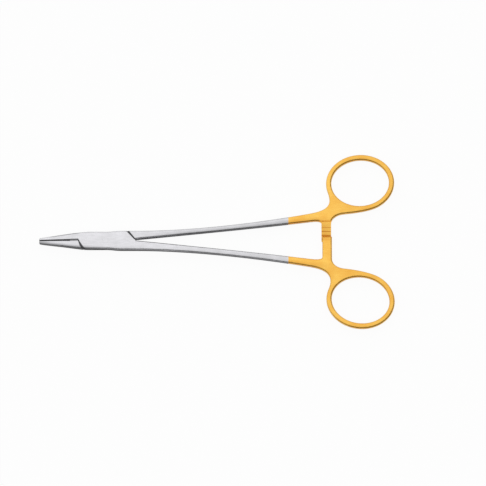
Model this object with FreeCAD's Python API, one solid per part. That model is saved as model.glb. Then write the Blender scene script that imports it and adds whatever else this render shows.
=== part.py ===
import FreeCAD, Part
import math
import os

Vector = FreeCAD.Vector

# Driving dimensions in millimetres.
# X runs along the closed instrument from the jaws to the finger rings, Y runs across it
# towards the male handle, and Z points up from the face that the box lies on.
# The pivot axis stands at X = 0, Y = 0.

# Jaws: reach ahead of the pivot, half width across both jaws and how far their centre lies off
# the long axis, thickness and corner radius
jaw_nose = {"reach": 33.4, "half_width": 1.44, "centre": -0.2, "thickness": 3.0, "corner": 0.75}
jaw_front = {"reach": 28.8, "half_width": 2.07, "centre": -0.2, "thickness": 3.45, "corner": 0.68}
jaw_middle = {"reach": 22.7, "half_width": 2.86, "centre": -0.06, "thickness": 4.15, "corner": 0.85}
jaw_back = {"reach": 16.0, "half_width": 3.74, "centre": -0.02, "thickness": 4.9, "corner": 1.0}
jaw_nose_rounding = 0.6

# Box
box_thickness = 5.6
box_front_reach = 9.0
box_rear_reach = 15.1
box_front_half_width = 4.4
box_rear_half_width = 4.88
box_swell_start = 0.0
box_swell_end = 8.5
edge_radius = 1.1

# Parting line between the jaws, above the long axis
parting_tip_offset = 0.02
parting_root_offset = 0.3
jaw_gap = 0.12

# Shoulders where the full thickness of one half stops at the cheeks of the other
front_shoulder_reach = 13.5
front_shoulder_outer_reach = 10.3
front_shoulder_bow = 0.45
rear_shoulder_reach = 14.8
rear_shoulder_offset = 0.47
rear_shoulder_outer_reach = 10.8
shoulder_gap = 0.4

# Tongue of the male half and the slot that it passes through
tongue_thickness = 1.9
tongue_round_radius = 3.4
tongue_open_flank_slope = 8.0
slot_side_clearance = 0.06
slot_face_clearance = 0.04
opening_angle = 30.0

# Pivot pin
pin_radius = 1.5
pin_running_clearance = 0.03

# Hard-metal inserts in the jaws
insert_rear_reach = 17.7
insert_tip_thickness = 0.3
insert_rear_thickness = 0.5

# What differs between the two handles, as offsets from the long axis towards each one's ring:
# edges of the shank where it leaves the box and where it ends, finger ring, web between ring and
# ratchet arm, how far beyond the shank's end the arm stands and how far past the long axis it
# reaches
male_handle = {
    "inner_root": 0.6, "inner_end": 9.65, "outer_end": 13.9, "outer_end_slope": 0.185,
    "ring_offset": 29.45, "ring_tilt": 3.8, "web_offset": 13.6,
    "arm_lead": 5.6, "arm_overlap": 0.4}
female_handle = {
    "inner_root": 0.0, "inner_end": 9.25, "outer_end": 13.25, "outer_end_slope": 0.165,
    "ring_offset": 30.25, "ring_tilt": 7.2, "web_offset": 14.1,
    "arm_lead": 6.0, "arm_overlap": 2.1}

# Shanks
shank_end_reach = 103.5
outer_root_pull = 24.0
outer_end_pull = 31.0
inner_root_slope = 0.093
inner_end_slope = 0.12

# Handle thickness at reaches along X, just beyond the shank's end and at both ends of the ring
neck_reach = 40.0
neck_thickness = 4.7
middle_reach = 75.0
middle_thickness = 4.1
junction_lead = 1.5
junction_thickness = 3.9
ring_thickness = 3.3
ring_far_thickness = 3.1

# Finger rings, and the web that joins each to its ratchet arm, placed beyond the shank's end
ring_lead = 25.2
ring_opening_half_length = 14.6
ring_opening_half_width = 11.65
ring_band_end = 2.65
ring_band_side = 2.8
ring_join_angle = 194.0
ring_leave_angle = -62.0
web_lead = 17.0
web_slope = 0.1
web_pull = 5.0
notch_shank_pull = 10.0
notch_ring_pull = 6.2

# Ratchet arms and their teeth
arm_width = 4.85
arm_inner_drop = 1.0
arm_inner_shank_pull = 4.4
arm_inner_arm_pull = 1.0
arm_outer_drop = 5.0
arm_outer_web_pull = 4.0
arm_outer_arm_pull = 2.5
arm_step_lead = 3.2
arm_step_run = 0.15
arm_cut_margin = 1.5
tooth_pitch = 2.0
tooth_depth = 0.55
male_root_tooth = 6.8
pitches_between_roots = 6
tooth_face_gap = 0.1

ring_centre_reach = shank_end_reach + ring_lead
mid_height = box_thickness / 2
beyond = 200.0
fine_margin = 0.01


def flat(point):
    return Vector(point[0], point[1], 0)


def line(start, end):
    return Part.LineSegment(flat(start), flat(end)).toShape()


def arc(start, middle, end):
    return Part.Arc(flat(start), flat(middle), flat(end)).toShape()


def bezier(*poles):
    curve = Part.BezierCurve()
    curve.setPoles([flat(pole) for pole in poles])
    return curve.toShape()


def stepped(point, direction, distance):
    """The point reached by going a distance from a point along a direction."""
    length = math.hypot(*direction)
    return (point[0] + direction[0] / length * distance,
            point[1] + direction[1] / length * distance)


def blend(start, start_direction, end, end_direction, start_pull, end_pull):
    """A curve that leaves one point and reaches another along given directions."""
    return bezier(start, stepped(start, start_direction, start_pull),
                  stepped(end, end_direction, -end_pull), end)


def face_of(edges):
    return Part.Face(Part.Wire(Part.__sortEdges__(edges)))


def polygon(*points):
    corners = [flat(point) for point in points]
    return Part.Face(Part.makePolygon(corners + corners[:1]))


def slab(face, low, high):
    """A plan face given its thickness between two heights."""
    solid = face.extrude(Vector(0, 0, high - low))
    solid.translate(Vector(0, 0, low))
    return solid


def through(face):
    """A plan face run right through the instrument, for cutting."""
    return slab(face, -box_thickness, 2 * box_thickness)


def one_solid(shape):
    return max(shape.Solids, key=lambda solid: solid.Volume)


def turned_over(shape):
    """The shape turned half a turn about the long axis, so that +Y becomes -Y."""
    return shape.rotated(Vector(0, 0, mid_height), Vector(1, 0, 0), 180)


# Head: the closed jaws and the box, as they are ground together

def head_section(reach, half_width, centre, thickness, corner):
    """A rounded rectangle across the long axis, ahead of the pivot by the reach."""
    chord = corner * (1 - math.sqrt(0.5))
    y, z = half_width, thickness / 2

    def at(across, up):
        return Vector(-reach, centre + across, mid_height + up)

    arcs = []
    for side, top in ((1, 1), (-1, 1), (-1, -1), (1, -1)):
        on_flank = at(side * y, top * (z - corner))
        on_face = at(side * (y - corner), top * z)
        middle = at(side * (y - chord), top * (z - chord))
        ends = (on_flank, on_face) if side * top > 0 else (on_face, on_flank)
        arcs.append((ends[0], middle, ends[1]))
    edges = []
    for index, (start, middle, end) in enumerate(arcs):
        edges.append(Part.Arc(start, middle, end).toShape())
        edges.append(Part.LineSegment(end, arcs[(index + 1) % 4][0]).toShape())
    return Part.Wire(edges)


def jaw_blank():
    """Both jaws as one tapering body, from the box to a blunt rounded nose."""
    stations = [jaw_nose, jaw_front, jaw_middle, jaw_back,
                {"reach": box_front_reach, "half_width": box_front_half_width, "centre": 0,
                 "thickness": box_thickness, "corner": edge_radius}]
    body = one_solid(Part.makeLoft([head_section(**station) for station in stations], True))
    nose = -jaw_nose["reach"]
    rim = [edge for edge in body.Edges if edge.BoundBox.XMax < nose + fine_margin]
    return one_solid(body.makeFillet(jaw_nose_rounding, rim))


def box_blank():
    """The box as one flat-faced body with rounded long edges."""
    front, rear = -box_front_reach, box_rear_reach
    pull = (box_swell_end - box_swell_start) / 2
    edges = [line((front, -box_front_half_width), (front, box_front_half_width)),
             line((rear, -box_rear_half_width), (rear, box_rear_half_width))]
    for side in (1, -1):
        narrow, wide = side * box_front_half_width, side * box_rear_half_width
        edges.append(line((front, narrow), (box_swell_start, narrow)))
        edges.append(blend((box_swell_start, narrow), (1, 0),
                           (box_swell_end, wide), (1, 0), pull, pull))
        edges.append(line((box_swell_end, wide), (rear, wide)))
    block = slab(face_of(edges), 0, box_thickness)
    long_edges = [edge for edge in block.Edges
                  if edge.BoundBox.XLength > fine_margin and edge.BoundBox.ZLength < fine_margin]
    return one_solid(block.makeFillet(edge_radius, long_edges))


def parting_offset(reach):
    """Offset of the parting line from the long axis at a reach ahead of the pivot."""
    length = jaw_nose["reach"] - front_shoulder_reach
    share = (reach - front_shoulder_reach) / length
    return parting_root_offset + share * (parting_tip_offset - parting_root_offset)


def front_shoulder(start, gap):
    """The slanting shoulder line in front of the pivot, from the parting line outwards."""
    slant = (front_shoulder_reach - front_shoulder_outer_reach,
             -box_front_half_width - parting_root_offset)
    away = (slant[1], -slant[0])
    corner = stepped((-front_shoulder_outer_reach, -box_front_half_width), away, gap)
    end = stepped(corner, slant, edge_radius)
    middle = stepped(((start[0] + end[0]) / 2, (start[1] + end[1]) / 2),
                     away, front_shoulder_bow)
    return arc(start, middle, end), end


def rear_shoulder(gap):
    """Ends of the slanting shoulder line behind the pivot, from its inner corner outwards."""
    slant = (rear_shoulder_outer_reach - rear_shoulder_reach,
             box_rear_half_width - rear_shoulder_offset)
    away = (slant[1], -slant[0])
    inner = stepped((rear_shoulder_reach, rear_shoulder_offset), away, gap)
    outer = stepped(inner, slant, math.hypot(*slant) + edge_radius)
    return inner, outer


def jaw_corner(side):
    """Where the parting face of one jaw meets its front shoulder."""
    reach = front_shoulder_reach + (0 if side > 0 else shoulder_gap)
    return (-reach, parting_offset(reach) + side * jaw_gap / 2)


def jaw_far_point(side):
    return (-beyond, parting_offset(beyond) + side * jaw_gap / 2)


def female_head(blank):
    """Upper jaw and box: all above the parting line and between the two shoulders."""
    corner, tip = jaw_corner(1), jaw_far_point(1)
    shoulder, outer = front_shoulder(corner, 0)
    rear_inner, rear_outer = rear_shoulder(0)
    inner_edge = -female_handle["inner_root"]
    region = face_of([
        line(tip, corner), shoulder,
        line(outer, (outer[0], -beyond)), line((outer[0], -beyond), (beyond, -beyond)),
        line((beyond, -beyond), (beyond, inner_edge)),
        line((beyond, inner_edge), (box_rear_reach, inner_edge)),
        line((box_rear_reach, inner_edge), rear_inner), line(rear_inner, rear_outer),
        line(rear_outer, (rear_outer[0], beyond)),
        line((rear_outer[0], beyond), (-beyond, beyond)), line((-beyond, beyond), tip)])
    return one_solid(blank.common(through(region)))


def male_head(blank):
    """Lower jaw and shank root, outside the shoulders, joined by the thin tongue."""
    corner, tip = jaw_corner(-1), jaw_far_point(-1)
    shoulder, outer = front_shoulder(corner, shoulder_gap)
    rear_inner, rear_outer = rear_shoulder(shoulder_gap)
    inner_edge = male_handle["inner_root"]
    jaw = face_of([line(tip, corner), shoulder, line(outer, (outer[0], -beyond)),
                   line((outer[0], -beyond), (-beyond, -beyond)), line((-beyond, -beyond), tip)])
    root = face_of([
        line(rear_outer, rear_inner), line(rear_inner, (box_rear_reach, inner_edge)),
        line((box_rear_reach, inner_edge), (beyond, inner_edge)),
        line((beyond, inner_edge), (beyond, beyond)),
        line((beyond, beyond), (rear_outer[0], beyond)),
        line((rear_outer[0], beyond), rear_outer)])
    parts = [blank.common(through(jaw)), blank.common(through(root)), tongue(blank)]
    return one_solid(parts[0].fuse(parts[1:]).removeSplitter())


# Tongue and slot: flanks that touch one round around the pivot

def tangents_meet(radius, first_slope, second_slope, side):
    """Where two tangents of the pivot round meet, above or below it, given their slopes."""
    distance = radius / math.cos(math.radians(first_slope - second_slope) / 2)
    direction = math.radians((first_slope + second_slope) / 2 + side * 90)
    return (distance * math.cos(direction), distance * math.sin(direction))


def along(slope):
    return (math.cos(math.radians(slope)), math.sin(math.radians(slope)))


def closed_flank_slope(point, side):
    """Slope of the line from a shoulder corner that touches the tongue's round."""
    distance = math.hypot(*point)
    direction = math.degrees(math.atan2(point[1], point[0]))
    turn = math.degrees(math.acos(tongue_round_radius / distance))
    return direction - turn - side * 90


def flank_slopes():
    """Slopes of the closed flanks in front of and behind the pivot."""
    front = closed_flank_slope((-front_shoulder_reach, parting_root_offset), 1)
    rear = closed_flank_slope((rear_shoulder_reach, rear_shoulder_offset), -1)
    return front, rear


def tongue(blank):
    """The thin middle of the male half, which passes between the two cheeks."""
    front_slope, rear_slope = flank_slopes()
    open_way = along(tongue_open_flank_slope)
    upper = tangents_meet(tongue_round_radius, front_slope, tongue_open_flank_slope, 1)
    lower = tangents_meet(tongue_round_radius, rear_slope, tongue_open_flank_slope, -1)
    corner = jaw_corner(-1)
    root = rear_shoulder(shoulder_gap)[0]
    inset = 2 * edge_radius
    plan = polygon(
        upper, corner, (corner[0] - inset, corner[1]), stepped(lower, open_way, -front_shoulder_reach),
        lower, root, (root[0], root[1] + inset), stepped(upper, open_way, rear_shoulder_reach - inset))
    half = tongue_thickness / 2
    return slab(plan, mid_height - half, mid_height + half).common(blank)


def slot():
    """The space between the cheeks that the tongue sweeps from closed to fully open."""
    radius = tongue_round_radius + slot_side_clearance
    front_slope, rear_slope = flank_slopes()
    open_slope = tongue_open_flank_slope + opening_angle
    upper = tangents_meet(radius, front_slope, open_slope, 1)
    lower = tangents_meet(radius, rear_slope, open_slope, -1)
    plan = polygon(
        stepped(upper, along(front_slope), -beyond), upper, stepped(upper, along(open_slope), beyond),
        stepped(lower, along(rear_slope), beyond), lower, stepped(lower, along(open_slope), -beyond))
    half = tongue_thickness / 2 + slot_face_clearance
    return slab(plan, mid_height - half, mid_height + half)


def pivot_bore(radius):
    return Part.makeCylinder(radius, 3 * box_thickness, Vector(0, 0, -box_thickness))


# Jaw inserts

def insert_seat(side):
    """The wedge between the parting line and the back of an insert, run out past the nose."""
    rear, nose = insert_rear_reach, jaw_nose["reach"]
    front = nose + jaw_nose_rounding
    taper = (insert_rear_thickness - insert_tip_thickness) / (nose - rear)
    front_thickness = insert_tip_thickness - taper * jaw_nose_rounding
    front_back = parting_offset(front) + side * (jaw_gap / 2 + front_thickness)
    rear_back = parting_offset(rear) + side * (jaw_gap / 2 + insert_rear_thickness)
    return through(polygon((-front, parting_offset(front)), (-rear, parting_offset(rear)),
                           (-rear, rear_back), (-front, front_back)))


# Handles: shank, finger ring, web and ratchet arm, drawn for the side above the long axis

def ring_ellipse(sizes, half_length, half_width):
    """An ellipse about a handle's finger ring centre, tilted with the ring."""
    curve = Part.Ellipse(Vector(0, 0, 0), half_length, half_width)
    place = FreeCAD.Matrix()
    place.rotateZ(math.radians(sizes["ring_tilt"]))
    place.move(Vector(ring_centre_reach, sizes["ring_offset"], 0))
    curve.transform(place)
    return curve


def ring_rim(sizes):
    return ring_ellipse(sizes, ring_opening_half_length + ring_band_end,
                        ring_opening_half_width + ring_band_side)


def ring_rim_end(sizes, angle):
    """A point on the finger ring's outer edge, and the clockwise direction there."""
    curve = ring_rim(sizes)
    point = curve.value(math.radians(angle))
    tangent = curve.tangent(math.radians(angle))[0]
    return (point.x, point.y), (-tangent.x, -tangent.y)


def handle_face(sizes):
    """Plan of one handle with its finger ring's opening."""
    outer_start = (box_rear_reach, box_rear_half_width)
    outer_stop = (shank_end_reach, sizes["outer_end"])
    outer_way = (1, sizes["outer_end_slope"])
    inner_start = (box_rear_reach, sizes["inner_root"])
    inner_stop = (shank_end_reach, sizes["inner_end"])
    inner_way = (-1, -inner_end_slope)
    pull = (shank_end_reach - box_rear_reach) / 3
    join, join_way = ring_rim_end(sizes, ring_join_angle)
    leave, leave_way = ring_rim_end(sizes, ring_leave_angle)
    web, web_way = (shank_end_reach + web_lead, sizes["web_offset"]), (-1, -web_slope)
    left = shank_end_reach + sizes["arm_lead"]
    right = left + arm_width
    outer_corner = (right, sizes["web_offset"] - arm_outer_drop)
    inner_corner = (left, sizes["inner_end"] - arm_inner_drop)
    tip_left, tip_right = (left, -sizes["arm_overlap"]), (right, -sizes["arm_overlap"])
    edges = [
        blend(outer_start, (1, 0), outer_stop, outer_way, outer_root_pull, outer_end_pull),
        blend(outer_stop, outer_way, join, join_way, notch_shank_pull, notch_ring_pull),
        Part.ArcOfEllipse(ring_rim(sizes), math.radians(ring_leave_angle),
                          math.radians(ring_join_angle)).toShape(),
        blend(leave, leave_way, web, web_way, web_pull, web_pull),
        blend(web, web_way, outer_corner, (0, -1), arm_outer_web_pull, arm_outer_arm_pull),
        line(outer_corner, tip_right), line(tip_right, tip_left), line(tip_left, inner_corner),
        blend(inner_corner, (0, 1), inner_stop, inner_way, arm_inner_arm_pull, arm_inner_shank_pull),
        blend(inner_stop, inner_way, inner_start, (-1, -inner_root_slope), pull, pull),
        line(inner_start, outer_start)]
    outline = Part.Wire(Part.__sortEdges__(edges))
    opening = ring_ellipse(sizes, ring_opening_half_length, ring_opening_half_width)
    quarters = [Part.ArcOfEllipse(opening, quarter * math.pi / 2, (quarter + 1) * math.pi / 2)
                for quarter in range(4)]
    face = Part.Face([outline, Part.Wire([quarter.toShape() for quarter in quarters])])
    face.validate()
    return face


def side_envelope():
    """What lies between the handle's upper and lower faces, which close in towards the rings."""
    stations = [(box_rear_reach, box_thickness), (neck_reach, neck_thickness),
                (middle_reach, middle_thickness),
                (shank_end_reach + junction_lead, junction_thickness),
                (ring_centre_reach, ring_thickness),
                (ring_centre_reach + 2 * ring_opening_half_length, ring_far_thickness)]
    faces = []
    for side in (1, -1):
        curve = Part.BSplineCurve()
        curve.interpolate([Vector(x, -beyond, mid_height + side * thickness / 2)
                           for x, thickness in stations],
                          InitialTangent=Vector(1, 0, 0), FinalTangent=Vector(1, 0, 0))
        faces.append(curve.toShape())
    ends = []
    for x, thickness in (stations[0], stations[-1]):
        ends.append(Part.LineSegment(Vector(x, -beyond, mid_height - thickness / 2),
                                     Vector(x, -beyond, mid_height + thickness / 2)).toShape())
    profile = Part.Wire(Part.__sortEdges__(faces + ends))
    return Part.Face(profile).extrude(Vector(0, 2 * beyond, 0))


def rim_edges(body):
    """Edges round the upper and lower faces of a handle, away from where it joins the box."""
    found = []
    for edge in body.Edges:
        span = edge.LastParameter - edge.FirstParameter
        points = [edge.valueAt(edge.FirstParameter + span * share) for share in (0.2, 0.5, 0.8)]
        on_face = all(abs(point.z - mid_height) > ring_far_thickness / 2 - fine_margin
                      for point in points)
        at_box = all(point.x < box_rear_reach + fine_margin for point in points)
        if on_face and not at_box:
            found.append(edge)
    return found


def tooth_cut(sizes, root_tooth):
    """Everything above a ratchet arm's toothed face: a step at its root, a flat, then saw teeth."""
    crest = mid_height - tooth_face_gap / 2
    top = mid_height + box_thickness
    step_foot = root_tooth + arm_step_lead
    step_lean = arm_step_run / (junction_thickness / 2)
    profile = [(step_foot + step_lean * (top - crest), top), (step_foot, crest),
               (root_tooth + tooth_pitch, crest)]
    teeth = math.ceil((root_tooth + sizes["arm_overlap"]) / tooth_pitch) + 1
    for index in range(teeth):
        steep = root_tooth - index * tooth_pitch
        profile += [(steep, crest - tooth_depth), (steep, crest)]
    profile.append((steep, top))
    left = shank_end_reach + sizes["arm_lead"] - arm_cut_margin
    points = [Vector(left, y, z) for y, z in profile]
    face = Part.Face(Part.makePolygon(points + points[:1]))
    return face.extrude(Vector(arm_width + 2 * arm_cut_margin, 0, 0))


def handle(sizes, root_tooth):
    """One handle with its upper and lower rims rounded and its ratchet teeth cut."""
    block = one_solid(slab(handle_face(sizes), 0, box_thickness).common(side_envelope()))
    rounded = one_solid(block.makeFillet(edge_radius, rim_edges(block)))
    return one_solid(rounded.cut(tooth_cut(sizes, root_tooth)))


# Pieces

def build_pieces():
    blank = one_solid(jaw_blank().fuse(box_blank()).removeSplitter())
    upper = female_head(blank)
    lower = male_head(blank)
    upper_seat, lower_seat = insert_seat(1), insert_seat(-1)
    upper_insert = one_solid(upper.common(upper_seat))
    lower_insert = one_solid(lower.common(lower_seat))
    upper = one_solid(upper.cut([slot(), pivot_bore(pin_radius), upper_seat]))
    lower = one_solid(lower.cut([pivot_bore(pin_radius + pin_running_clearance), lower_seat]))
    female_root_tooth = pitches_between_roots * tooth_pitch - male_root_tooth
    upper_shank = handle(male_handle, male_root_tooth)
    lower_shank = turned_over(handle(female_handle, female_root_tooth))
    pin = Part.makeCylinder(pin_radius, box_thickness)
    return {
        "female_half": one_solid(upper.fuse(lower_shank).removeSplitter()),
        "male_half": one_solid(lower.fuse(upper_shank).removeSplitter()),
        "upper_jaw_insert": upper_insert,
        "lower_jaw_insert": lower_insert,
        "pivot_pin": pin,
    }


os.makedirs("parts", exist_ok=True)
for name, shape in build_pieces().items():
    shape.exportStep(f"parts/{name}.step")
    box = shape.BoundBox
    print(name, "volume", round(shape.Volume, 1), "valid", shape.isValid(),
          "X", round(box.XMin, 2), round(box.XMax, 2), "Y", round(box.YMin, 2), round(box.YMax, 2),
          "Z", round(box.ZMin, 2), round(box.ZMax, 2))
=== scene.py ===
import math

import bpy
from bpy.props import FloatProperty, FloatVectorProperty, IntProperty, PointerProperty
from mathutils import Matrix, Vector


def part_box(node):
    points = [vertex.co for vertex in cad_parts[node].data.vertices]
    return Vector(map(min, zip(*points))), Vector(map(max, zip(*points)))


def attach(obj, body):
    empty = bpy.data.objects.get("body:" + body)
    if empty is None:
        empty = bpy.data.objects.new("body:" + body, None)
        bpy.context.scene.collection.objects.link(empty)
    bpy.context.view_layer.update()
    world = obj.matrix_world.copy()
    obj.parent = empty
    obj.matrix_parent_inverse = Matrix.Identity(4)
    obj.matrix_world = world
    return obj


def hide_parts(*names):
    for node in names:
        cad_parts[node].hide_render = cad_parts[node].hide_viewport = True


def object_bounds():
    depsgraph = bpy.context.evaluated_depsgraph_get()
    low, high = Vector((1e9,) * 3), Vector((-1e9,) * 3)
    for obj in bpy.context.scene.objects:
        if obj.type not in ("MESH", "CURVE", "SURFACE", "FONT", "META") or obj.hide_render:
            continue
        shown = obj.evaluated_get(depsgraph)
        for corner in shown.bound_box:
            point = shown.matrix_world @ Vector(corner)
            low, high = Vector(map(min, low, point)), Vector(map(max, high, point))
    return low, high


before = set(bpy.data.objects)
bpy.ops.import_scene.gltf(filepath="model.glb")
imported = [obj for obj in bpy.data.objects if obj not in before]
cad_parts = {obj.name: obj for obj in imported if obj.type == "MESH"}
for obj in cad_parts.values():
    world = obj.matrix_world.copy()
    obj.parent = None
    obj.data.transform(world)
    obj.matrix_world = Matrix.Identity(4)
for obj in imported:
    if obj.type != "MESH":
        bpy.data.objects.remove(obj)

bl_info = {
    "name": "Needle holder looks",
    "version": (1, 0, 0),
    "blender": (4, 5, 0),
    "location": "View3D > Sidebar > Needle holder",
    "description": "Dresses a needle holder in satin steel and gold, with cross-cut jaw inserts",
    "category": "Object",
}

MM = 0.001
FRAME_BOX = [list(corner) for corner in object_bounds()]

# The pivot pin is as high as the box, and its middle lies on the mid plane of every piece
PIN_LOW, PIN_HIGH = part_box("pivot_pin")
MID_HEIGHT = (PIN_LOW[2] + PIN_HIGH[2]) / 2

# Each insert, the side of the parting line that it lies on and the body that it moves with
INSERTS = (("upper_jaw_insert", 1, "female"), ("lower_jaw_insert", -1, "male"))

# In degrees: the lean of each set of grooves, and the sharpest edge that is shaded smooth
GROOVE_LEANS = (45, -45)
SMOOTH_BELOW = 25

# Points of a mesh that are nearer to each other than this, in metres, are joined
MERGE_DISTANCE = 0.001 * MM

# How squarely a face looks across the object to count as part of a gripping face
SQUARE_ENOUGH = 0.99

# Where the finishes change, in millimetres along the frame's axes. A span is a low and a high
# place. A profile is a row of places, each with the value there, and runs straight between them.

# Half the thickness and half the breadth, by place along X. The breadth is that of the head alone.
HALF_THICKNESS = ((-33.4, 1.5), (-9.0, 2.8), (15.1, 2.8), (40.0, 2.35), (75.0, 2.05),
                  (105.0, 1.95), (128.7, 1.65), (146.0, 1.55))
HALF_BREADTH = ((-33.4, 1.44), (-28.8, 2.07), (-22.7, 2.86), (-16.0, 3.74), (-9.0, 4.4),
                (0.0, 4.4), (8.5, 4.88))

# The tongue and its slot, where shade is painted, and how far in from the flanks of the box they
# start to show as such
BEARING_SPAN = (-14.0, 15.2)
BEARING_HALF_HEIGHT = 1.0
BEARING_INSET = (0.2, 0.35)

# The seam behind the inserts, painted as a dark line of shade, which runs a little off the parting
# line
SEAM_SPAN = (-17.7, -13.6)
SEAM_OFFSET = 0.1
SEAM_HALF_WIDTH = 0.45

# The front shoulder gap, where shade is painted: its X and its half width, by place along Y
FRONT_GAP = ((0.25, -13.67), (-2.84, -12.13), (-5.42, -9.85))
FRONT_GAP_HALF_WIDTH = ((-0.5, 0.3), (-3.0, 0.75))

# The rear shoulder gap, where shade is painted: a point on it, the direction across it, its half
# width by place along Y and the spans that it ends at
REAR_GAP_POINT = (14.95, 0.6)
REAR_GAP_ACROSS = (0.741, 0.672)
REAR_GAP_HALF_WIDTH = ((1.5, 0.3), (4.5, 0.5))
REAR_GAP_X_SPAN = (9.0, 15.2)
REAR_GAP_Y_SPAN = (0.5, 6.0)

# The soft edge of the painted shade in the seam and in both gaps
GAP_EDGE = 0.15

PIN_RADIUS = 1.5

# How far the middle of each shank lies from the long axis, by place along X
SHANK_MIDDLE = ((15.0, 0.0), (15.2, 2.4), (33.6, 4.1), (49.7, 5.3), (69.9, 7.15), (82.0, 8.65),
                (103.5, 11.55))

# The toothed faces of the ratchet arms, where shade is painted at the tooth roots, and the place
# along Y of one root of the teeth
ARMS_X_SPAN = (107.6, 116.2)
ARMS_Y_SPAN = (-6.3, 8.4)
ARMS_HALF_HEIGHT = 0.7
TOOTH_PITCH = 2.0
TOOTH_ROOT = 0.8

# The light comes from above, the left and the far side, and falls off by the cosine to it
LIGHT_FROM = (-0.35, 0.6, 0.72)
LIGHT_FALL_OFF = (0.0, 0.42)

# How white the floor is made for each kind of ray, over its own shade
FLOOR_SIDE = 4.0
FLOOR_GLOW = (("Is Camera Ray", 0.94), ("Is Glossy Ray", 0.5))


class NeedleHolderFinish(bpy.types.PropertyGroup):
    """Colours and sizes of the metal finishes."""

    steel: FloatVectorProperty(
        name="Steel", description="Colour of the satin steel", subtype="COLOR",
        size=4, min=0, max=1, default=(0.81, 0.805, 0.838, 1))
    steel_cloud: FloatVectorProperty(
        name="Steel cloud", description="Duller tone in patches of the steel", subtype="COLOR",
        size=4, min=0, max=1, default=(0.64, 0.637, 0.655, 1))
    # Painted shade on the flanks and on the -Y half of each shank, standing in for dark reflections
    # there
    steel_painted_shade: FloatVectorProperty(
        name="Steel flank", description="Tone of the flanks, which are left duller than the faces",
        subtype="COLOR", size=4, min=0, max=1, default=(0.22, 0.22, 0.23, 1))
    # Colour of the painted shade in the tongue, slot, seam, shoulder gaps and head edges, and of
    # the hairline around the pin
    steel_shade_and_lines: FloatVectorProperty(
        name="Bearing steel", description="Colour of the sliding faces and of the dark lines",
        subtype="COLOR", size=4, min=0, max=1, default=(0.12, 0.12, 0.125, 1))
    gold: FloatVectorProperty(
        name="Gold", description="Colour of the gold plating", subtype="COLOR",
        size=4, min=0, max=1, default=(1.0, 0.63, 0.14, 1))
    gold_cloud: FloatVectorProperty(
        name="Gold cloud", description="Redder tone in patches of the plating", subtype="COLOR",
        size=4, min=0, max=1, default=(0.91, 0.47, 0.08, 1))
    # Painted shade at the roots of the ratchet teeth and on the -Y half of the gold shank ends, and
    # a darker tone on the rings
    gold_shade_and_ring_tone: FloatVectorProperty(
        name="Tooth valley", description="Colour at the roots of the ratchet teeth",
        subtype="COLOR", size=4, min=0, max=1, default=(0.50, 0.15, 0.003, 1))
    steel_grazing: FloatVectorProperty(
        name="Steel grazing tint", description="What the steel reflects at a grazing angle",
        subtype="COLOR", size=4, min=0, max=1, default=(0.3, 0.3, 0.3, 1))
    gold_grazing: FloatVectorProperty(
        name="Gold grazing tint", description="What the plating reflects at a grazing angle",
        subtype="COLOR", size=4, min=0, max=1, default=(0.8, 0.8, 0.8, 1))
    gold_start: FloatProperty(
        name="Gold start", description="Where along the shanks the plating starts",
        unit="LENGTH", default=92.3 * MM)
    roughness: FloatProperty(
        name="Roughness", description="Mean roughness of the satin finish",
        subtype="FACTOR", min=0, max=1, default=0.25)


class NeedleHolderInserts(bpy.types.PropertyGroup):
    """Sizes and colours of the cross-cut gripping faces."""

    pitch: FloatProperty(
        name="Pitch", description="Distance between neighbouring grooves",
        unit="LENGTH", default=0.5 * MM)
    depth: FloatProperty(
        name="Depth", description="Depth of the grooves", unit="LENGTH", default=0.17 * MM)
    hard_metal: FloatVectorProperty(
        name="Hard metal", description="Colour of the ground hard metal", subtype="COLOR",
        size=4, min=0, max=1, default=(0.11, 0.11, 0.115, 1))
    tips: FloatVectorProperty(
        name="Tips", description="Brighter tone on the tips of the teeth", subtype="COLOR",
        size=4, min=0, max=1, default=(0.34, 0.34, 0.35, 1))


class NeedleHolderStage(bpy.types.PropertyGroup):
    """Floor, light and camera."""

    floor: FloatVectorProperty(
        name="Floor", description="Colour of the floor", subtype="COLOR",
        size=4, min=0, max=1, default=(0.92, 0.92, 0.92, 1))
    bright: FloatProperty(
        name="Bright side", description="Light from the bright side", default=1.03)
    dark: FloatProperty(name="Dark side", description="Light from the dark side", default=0.13)
    lens: FloatProperty(name="Lens", description="Focal length in millimetres", default=300.0)
    tilt: FloatProperty(
        name="Tilt", description="How far the camera leans from straight above",
        subtype="ANGLE", default=math.radians(8.0))
    image_side: IntProperty(
        name="Image side", description="Pixels along the square image", default=486)
    pixel: FloatProperty(
        name="Pixel", description="Size of a pixel on the object",
        unit="LENGTH", default=0.505 * MM)
    origin_column: FloatProperty(
        name="Origin column", description="Column of the pivot", default=105.5)
    origin_row: FloatProperty(name="Origin row", description="Row of the pivot", default=241.0)


# Shader maths

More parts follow.
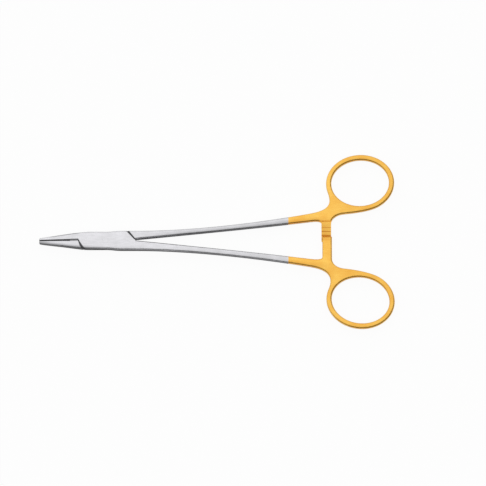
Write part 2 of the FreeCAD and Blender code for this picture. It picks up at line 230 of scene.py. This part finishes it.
class Number:
    """A scalar shader socket that takes part in Python expressions."""

    def __init__(self, tree, socket):
        self.tree = tree
        self.socket = socket

    def _math(self, operation, *operands, clamp=False):
        node = self.tree.nodes.new("ShaderNodeMath")
        node.operation = operation
        node.use_clamp = clamp
        for slot, operand in zip(node.inputs, operands):
            plug(self.tree, slot, operand)
        return Number(self.tree, node.outputs[0])

    def __add__(self, other):
        return self._math("ADD", self, other)

    def __radd__(self, other):
        return self._math("ADD", other, self)

    def __sub__(self, other):
        return self._math("SUBTRACT", self, other)

    def __mul__(self, other):
        return self._math("MULTIPLY", self, other)

    def __rmul__(self, other):
        return self._math("MULTIPLY", other, self)

    def __truediv__(self, other):
        return self._math("DIVIDE", self, other)

    def __mod__(self, other):
        return self._math("FLOORED_MODULO", self, other)

    def __abs__(self):
        return self._math("ABSOLUTE", self)

    def ramp(self, start, end):
        """0 at the start value and before it, 1 at the end value and past it."""
        return self._math("DIVIDE", self - start, end - start, clamp=True)

    def inside(self, low, high, edge):
        """1 between two values and 0 outside them, with a soft edge."""
        return self.ramp(low - edge, low + edge) * self.ramp(high + edge, high - edge)

    def within(self, limit, edge):
        """1 up to a limit and 0 from an edge's width past it."""
        return (self - limit).ramp(edge, 0.0)

    def profile(self, places):
        """The value of a profile at this place, level before its first place and past its last."""
        value = places[0][1]
        for (start, before), (end, after) in zip(places, places[1:]):
            if after != before:
                value = value + (after - before) * self.ramp(start, end)
        return value


def plug(tree, slot, source):
    """Gives a node's input a link or a plain value."""
    if isinstance(source, Number):
        source = source.socket
    if isinstance(source, bpy.types.NodeSocket):
        tree.links.new(source, slot)
    else:
        slot.default_value = source


class Shader:
    """A material's or a world's node tree, with one way to add a node."""

    def __init__(self, owner):
        owner.use_nodes = True
        self.tree = owner.node_tree
        self.tree.nodes.clear()

    def add(self, kind, settings=None, inputs=None):
        """Adds a node: its settings first, then the values or links of its sockets."""
        node = self.tree.nodes.new(kind)
        for name, value in (settings or {}).items():
            setattr(node, name, value)
        for name, source in (inputs or {}).items():
            plug(self.tree, node.inputs[name], source)
        return node

    def number(self, node, output=0):
        """One output of a node, as a number."""
        return Number(self.tree, node.outputs[output])

    def place(self):
        """Object coordinates, and their three parts in millimetres."""
        coordinates = self.add("ShaderNodeTexCoord")
        parts = self.add("ShaderNodeSeparateXYZ", inputs={0: coordinates.outputs["Object"]})
        return coordinates.outputs["Object"], [self.number(parts, index) / MM for index in range(3)]

    def noise(self, place, size, detail=3.0, stretch=1.0):
        """Noise with patches of a size in metres, drawn out along the object by a factor."""
        turned = self.add("ShaderNodeMapping", inputs={
            "Vector": place, "Scale": (1 / stretch, 1, 1)})
        node = self.add("ShaderNodeTexNoise", inputs={
            "Vector": turned.outputs[0], "Scale": 1 / size, "Detail": detail})
        return self.number(node)

    def blend(self, factor, first, second):
        """A colour between two others."""
        node = self.add("ShaderNodeMix", {"data_type": "RGBA"})
        plug(self.tree, node.inputs[0], factor)
        plug(self.tree, node.inputs[6], first)
        plug(self.tree, node.inputs[7], second)
        return node.outputs[2]

    def finish(self, surface):
        """Makes a shader node the surface of the material."""
        self.add("ShaderNodeOutputMaterial", inputs={"Surface": surface.outputs[0]})


def dress(thing, material):
    """Gives an object one material, in place of any it has."""
    if not thing.data.materials:
        thing.data.materials.append(material)
    for slot in thing.material_slots:
        slot.material = material


# Places of the gripping faces

def gripping_face(piece, side):
    """Middle, length, height and slope of the face that meets the other jaw."""
    faces = [face for face in piece.data.polygons if face.normal.y * side < -SQUARE_ENOUGH]
    points = [piece.data.vertices[index].co for face in faces for index in face.vertices]
    front = min(points, key=lambda point: point.x)
    rear = max(points, key=lambda point: point.x)
    slope = (rear.y - front.y) / (rear.x - front.x)
    height = max(point.z for point in points) - min(point.z for point in points)
    return (front + rear) / 2, rear.x - front.x, height, slope


def parting_line():
    """Where the line midway between the two gripping faces crosses X = 0, and its slope."""
    starts = []
    for name, side, _ in INSERTS:
        middle, _, _, slope = gripping_face(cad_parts[name], side)
        starts.append(middle.y - slope * middle.x)
    return sum(starts) / 2, slope


# Shares of the darker tones, by place in millimetres. They are added up, and a blend takes a sum
# over 1 as 1. Much of the shading is placed here, and doesn't follow from the light.

def bearing_faces_shade(x, y, height, breadth):
    """Painted shade on the tongue and the slot, which lie between the cheeks and in from the flanks
    of the box.
    """
    return (x.inside(*BEARING_SPAN, 0.05) * height.within(BEARING_HALF_HEIGHT, 0.1)
            * (breadth - abs(y)).ramp(*BEARING_INSET))


def head_edge_shade(x, y, breadth):
    """Painted shade on the rounded edges of the head, standing in for dark reflections, darkest
    along the lower jaw.
    """
    along_lower = (0.4 + 0.6 * x.ramp(0.0, -9.0)) * x.ramp(27.0, 12.0)
    along_upper = x.inside(-28.0, -13.5, 1.5)
    lower = (breadth + y + 0.15).ramp(1.9, 0.6) * along_lower
    upper = (breadth - y - 0.1).ramp(0.65, 0.3) * along_upper
    return 0.7 * lower + 0.5 * upper


def seam_shade_behind_inserts(x, y, grain):
    """Painted shade along the parting line between the inserts and the front shoulder."""
    start, slope = parting_line()
    from_line = abs(y - start / MM - slope * x - SEAM_OFFSET)
    uneven = 0.65 + 0.5 * grain
    return x.inside(*SEAM_SPAN, 0.05) * from_line.within(SEAM_HALF_WIDTH, GAP_EDGE) * uneven


def shoulder_gap_shade(x, y):
    """Painted shade in the gaps where each half's shoulder meets the cheeks of the box."""
    from_front = abs(x - y.profile(FRONT_GAP))
    front = from_front.within(y.profile(FRONT_GAP_HALF_WIDTH), GAP_EDGE) * y.ramp(0.5, 0.3)
    from_rear = abs((x - REAR_GAP_POINT[0]) * REAR_GAP_ACROSS[0]
                    + (y - REAR_GAP_POINT[1]) * REAR_GAP_ACROSS[1])
    rear = (from_rear.within(y.profile(REAR_GAP_HALF_WIDTH), GAP_EDGE)
            * y.inside(*REAR_GAP_Y_SPAN, 0.1) * x.inside(*REAR_GAP_X_SPAN, 0.1))
    return front + rear


def pin_rim(x, y):
    """A faint hairline around the end of the pin."""
    return 0.3 * (x * x + y * y).inside(PIN_RADIUS ** 2 - 0.1, PIN_RADIUS ** 2 + 0.1, 0.1)


def tooth_root_shade(x, y, height, grain):
    """Painted shade at the roots of the ratchet teeth, darkest towards the foot of each steep face.
    """
    phase = (y - TOOTH_ROOT) % TOOTH_PITCH
    valley = phase.ramp(0.55, 0.05) + phase.ramp(1.85, TOOTH_PITCH)
    toothed = (x.inside(*ARMS_X_SPAN, 0.1) * y.inside(*ARMS_Y_SPAN, 0.1)
               * height.within(ARMS_HALF_HEIGHT, 0.1))
    fainter_above = 0.35 + 0.65 * y.ramp(7.0, 2.9)
    return valley * toothed * fainter_above * (0.8 + 0.4 * grain)


# Finishes

def satin_steel_and_gold(finish):
    """Satin steel that is gold plated from the ends of the shanks to the finger rings."""
    material = bpy.data.materials.new("satin_steel_and_gold")
    shader = Shader(material)
    place, (x, y, z) = shader.place()
    height = abs(z - MID_HEIGHT / MM)
    cloud = shader.noise(place, 6 * MM)
    streak = shader.noise(place, 0.5 * MM, stretch=8.0)
    grain = shader.noise(place, 0.25 * MM, detail=4.0)
    patch = cloud.ramp(0.3, 0.7)
    streaked = streak.ramp(0.3, 0.7)
    breadth = x.profile(HALF_BREADTH)

    # Painted shade on the half of each shank on the -Y side and on the flanks, most on that side,
    # standing in for dark reflections there
    upper = y.ramp(-0.2, 0.2)
    below = (2.0 * upper - 1.0) * x.profile(SHANK_MIDDLE) - y
    shaded = below.ramp(-0.8, 0.9) * x.ramp(18.0, 45.0) * x.ramp(118.0, 104.0)
    depth = (x.profile(HALF_THICKNESS) - height).ramp(0.3, 0.8)
    # Painted shade: the flanks, more on the -Y side, and the -Y half of each shank face
    painted_flank_shade = depth * (0.2 + 0.8 * below.ramp(-0.6, 0.6)) + shaded * (0.2 + 0.25 * upper)

    bearing_shade = bearing_faces_shade(x, y, height, breadth)
    # Painted shade in the tongue, slot, seam, gaps and on the head's edges, together with the pin's
    # hairline
    dark = (bearing_shade + seam_shade_behind_inserts(x, y, grain) + shoulder_gap_shade(x, y) + pin_rim(x, y)
            + head_edge_shade(x, y, breadth))
    dull = 0.4 * patch + 0.5 * streaked + 0.35 * x.ramp(18.0, 80.0)
    steel = shader.blend(dull, finish.steel, finish.steel_cloud)
    steel = shader.blend(painted_flank_shade, steel, finish.steel_painted_shade)
    steel = shader.blend(dark, steel, finish.steel_shade_and_lines)

    # Painted shade at the tooth roots and on the -Y half of the gold shank ends, and a darker tone
    # towards the rings
    gold_shade_and_ring_tone_mask = tooth_root_shade(x, y, height, grain) + 0.3 * shaded + 0.12 * x.ramp(112.0, 124.0)
    gold = shader.blend(0.6 * patch + 0.4 * streaked, finish.gold, finish.gold_cloud)
    gold = shader.blend(gold_shade_and_ring_tone_mask, gold, finish.gold_shade_and_ring_tone)

    plated = (x - finish.gold_start / MM + 0.3 * (streak - 0.5)).ramp(-0.1, 0.1)
    rough = finish.roughness + 0.14 * (grain - 0.5) + 0.1 * (cloud - 0.5) + 0.1 * bearing_shade
    bump = shader.add("ShaderNodeBump", inputs={
        "Strength": 0.12, "Distance": 0.02 * MM, "Height": grain + 0.6 * streak})
    metals = [shader.add("ShaderNodeBsdfPrincipled", inputs={
        "Base Color": colour, "Metallic": 1.0, "Specular Tint": tuple(grazing),
        "Roughness": rough, "Normal": bump.outputs[0]})
        for colour, grazing in ((steel, finish.steel_grazing), (gold, finish.gold_grazing))]
    shader.finish(shader.add("ShaderNodeMixShader", inputs={
        0: plated, 1: metals[0].outputs[0], 2: metals[1].outputs[0]}))
    return material


def hard_metal(inserts):
    """Dark ground hard metal, brighter on the tips of the teeth next to the parting line."""
    material = bpy.data.materials.new("hard_metal")
    shader = Shader(material)
    place, (x, y, _) = shader.place()
    grain = shader.noise(place, 0.15 * MM, detail=4.0)
    start, slope = parting_line()
    from_parting = abs(y - start / MM - slope * x)
    worn = from_parting.ramp(0.11, 0.07) * grain.ramp(0.3, 0.6)
    bump = shader.add("ShaderNodeBump", inputs={
        "Strength": 0.2, "Distance": 0.01 * MM, "Height": grain})
    shader.finish(shader.add("ShaderNodeBsdfPrincipled", inputs={
        "Base Color": shader.blend(worn, inserts.hard_metal, inserts.tips), "Metallic": 1.0,
        "Roughness": 0.36 + 0.2 * (grain - 0.5), "Normal": bump.outputs[0]}))
    return material


def pale_floor(stage):
    """A pale matt floor that shows nearly white and takes a faint shadow."""
    material = bpy.data.materials.new("pale_floor")
    shader = Shader(material)
    rays = shader.add("ShaderNodeLightPath")
    matt = shader.add("ShaderNodeBsdfDiffuse", inputs={"Color": tuple(stage.floor)})
    white = shader.add("ShaderNodeEmission", inputs={"Color": (1, 1, 1, 1), "Strength": 1.0})
    glow = sum(shader.number(rays, kind) * share for kind, share in FLOOR_GLOW)
    shader.finish(shader.add("ShaderNodeMixShader", inputs={
        0: glow, 1: matt.outputs[0], 2: white.outputs[0]}))
    return material


# Jaw inserts

def only(thing):
    """Selects one object alone and makes it active."""
    bpy.ops.object.select_all(action="DESELECT")
    thing.select_set(True)
    bpy.context.view_layer.objects.active = thing


def merged_copy(node, name):
    """A copy of a CAD node with its mesh joined up."""
    piece = bpy.data.objects.new(name, node.data.copy())
    bpy.context.scene.collection.objects.link(piece)
    only(piece)
    bpy.ops.mesh.customdata_custom_splitnormals_clear()
    bpy.ops.object.mode_set(mode="EDIT")
    bpy.ops.mesh.select_all(action="SELECT")
    bpy.ops.mesh.remove_doubles(threshold=MERGE_DISTANCE)
    bpy.ops.object.mode_set(mode="OBJECT")
    return piece


def cut_grooves(piece, face, inserts, lean):
    """Cuts one set of V grooves, a pitch apart, across a gripping face at a lean."""
    middle, length, height, slope = face
    spread = length + height
    count = math.ceil(spread * math.sqrt(0.5) / inserts.pitch)
    bpy.ops.object.select_all(action="DESELECT")
    bpy.ops.mesh.primitive_cylinder_add(
        vertices=4, radius=inserts.depth, depth=spread, location=(0, 0, 0))
    bars = bpy.context.object
    array = bars.modifiers.new("row", "ARRAY")
    array.count = count
    array.use_relative_offset = False
    array.use_constant_offset = True
    array.constant_offset_displace = (inserts.pitch, 0, 0)
    bpy.ops.object.modifier_apply(modifier="row")
    centred = Matrix.Translation(Vector((-inserts.pitch * (count - 1) / 2, 0, 0)))
    leaned = Matrix.Rotation(lean, 4, "Y")
    laid = Matrix.Rotation(math.atan(slope), 4, "Z")
    at = Matrix.Translation(Vector((middle.x, middle.y, MID_HEIGHT)))
    bars.data.transform(at @ laid @ leaned @ centred)
    only(piece)
    cut = piece.modifiers.new("grooves", "BOOLEAN")
    cut.operation = "DIFFERENCE"
    cut.solver = "MANIFOLD"
    cut.object = bars
    bpy.ops.object.modifier_apply(modifier="grooves")
    bpy.data.objects.remove(bars)


# Floor, light and camera

def lay_floor(stage):
    """A square floor level with the lowest point of the object."""
    bpy.ops.object.select_all(action="DESELECT")
    bpy.ops.mesh.primitive_plane_add(size=FLOOR_SIDE, location=(0, 0, FRAME_BOX[0][2]))
    floor = bpy.context.object
    floor.name = "floor"
    bpy.ops.object.transform_apply(location=True, rotation=True, scale=True)
    dress(floor, pale_floor(stage))


def light_the_room(scene, stage):
    """A soft tent of light that fades towards the viewer's side of the table."""
    world = bpy.data.worlds.new("light_tent")
    scene.world = world
    shader = Shader(world)
    direction = shader.add("ShaderNodeTexCoord").outputs["Generated"]
    facing = shader.number(shader.add("ShaderNodeVectorMath", {"operation": "DOT_PRODUCT"}, {
        0: direction, 1: Vector(LIGHT_FROM).normalized()}), "Value")
    strength = stage.dark + facing.ramp(*LIGHT_FALL_OFF) * (stage.bright - stage.dark)
    background = shader.add("ShaderNodeBackground", inputs={
        "Color": (1, 1, 1, 1), "Strength": strength})
    shader.add("ShaderNodeOutputWorld", inputs={"Surface": background.outputs[0]})


def place_camera(scene, stage):
    """A long lens nearly above the object, so that the pivot falls on its pixel."""
    data = bpy.data.cameras.new("camera")
    camera = bpy.data.objects.new("camera", data)
    scene.collection.objects.link(camera)
    data.lens = stage.lens
    side = stage.image_side * stage.pixel
    distance = side * stage.lens / data.sensor_width
    middle = stage.image_side / 2
    target = Vector(((middle - stage.origin_column) * stage.pixel,
                     (stage.origin_row - middle) * stage.pixel / math.cos(stage.tilt),
                     MID_HEIGHT))
    back = Vector((0, -math.sin(stage.tilt), math.cos(stage.tilt)))
    camera.location = target + back * distance
    camera.rotation_euler = (stage.tilt, 0, 0)
    data.clip_end = 10 * distance
    scene.camera = camera


# Operators

class NEEDLEHOLDER_OT_halves(bpy.types.Operator):
    """Dress the two halves and the pivot pin"""

    bl_idname = "needleholder.halves"
    bl_label = "Halves and pin"

    def execute(self, context):
        material = satin_steel_and_gold(context.scene.needle_holder_finish)
        for name in ("female_half", "male_half", "pivot_pin"):
            dress(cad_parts[name], material)
        return {"FINISHED"}


class NEEDLEHOLDER_OT_inserts(bpy.types.Operator):
    """Make the two jaw inserts with their cross-cut gripping faces"""

    bl_idname = "needleholder.inserts"
    bl_label = "Jaw inserts"

    def execute(self, context):
        inserts = context.scene.needle_holder_inserts
        material = hard_metal(inserts)
        for name, side, body in INSERTS:
            piece = merged_copy(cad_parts[name], name + "_cross_cut")
            face = gripping_face(piece, side)
            for lean in GROOVE_LEANS:
                cut_grooves(piece, face, inserts, math.radians(lean))
            only(piece)
            bpy.ops.object.shade_smooth_by_angle(angle=math.radians(SMOOTH_BELOW))
            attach(piece, body)
            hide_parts(name)
            dress(piece, material)
        return {"FINISHED"}


class NEEDLEHOLDER_OT_stage(bpy.types.Operator):
    """Lay the floor, set the light and place the camera"""

    bl_idname = "needleholder.stage"
    bl_label = "Stage"

    def execute(self, context):
        stage = context.scene.needle_holder_stage
        lay_floor(stage)
        light_the_room(context.scene, stage)
        place_camera(context.scene, stage)
        context.scene.view_settings.view_transform = "Standard"
        return {"FINISHED"}


class NEEDLEHOLDER_PT_panel(bpy.types.Panel):
    """Shows the operators and their settings in the sidebar"""

    bl_label = "Needle holder"
    bl_idname = "NEEDLEHOLDER_PT_panel"
    bl_space_type = "VIEW_3D"
    bl_region_type = "UI"
    bl_category = "Needle holder"

    def draw(self, context):
        for operator in OPERATORS:
            self.layout.operator(operator.bl_idname)
        for name, group in GROUPS.items():
            for prop in group.__annotations__:
                self.layout.prop(getattr(context.scene, name), prop)


GROUPS = {
    "needle_holder_finish": NeedleHolderFinish,
    "needle_holder_inserts": NeedleHolderInserts,
    "needle_holder_stage": NeedleHolderStage,
}
OPERATORS = (NEEDLEHOLDER_OT_halves, NEEDLEHOLDER_OT_inserts, NEEDLEHOLDER_OT_stage)


def register():
    for group in GROUPS.values():
        bpy.utils.register_class(group)
    for cls in OPERATORS + (NEEDLEHOLDER_PT_panel,):
        bpy.utils.register_class(cls)
    for name, group in GROUPS.items():
        setattr(bpy.types.Scene, name, PointerProperty(type=group))


def unregister():
    for name in GROUPS:
        delattr(bpy.types.Scene, name)
    for cls in (NEEDLEHOLDER_PT_panel,) + OPERATORS + tuple(GROUPS.values()):
        bpy.utils.unregister_class(cls)


def main():
    register()
    bpy.ops.needleholder.halves()
    bpy.ops.needleholder.inserts()
    bpy.ops.needleholder.stage()


if __name__ == "__main__":
    main()
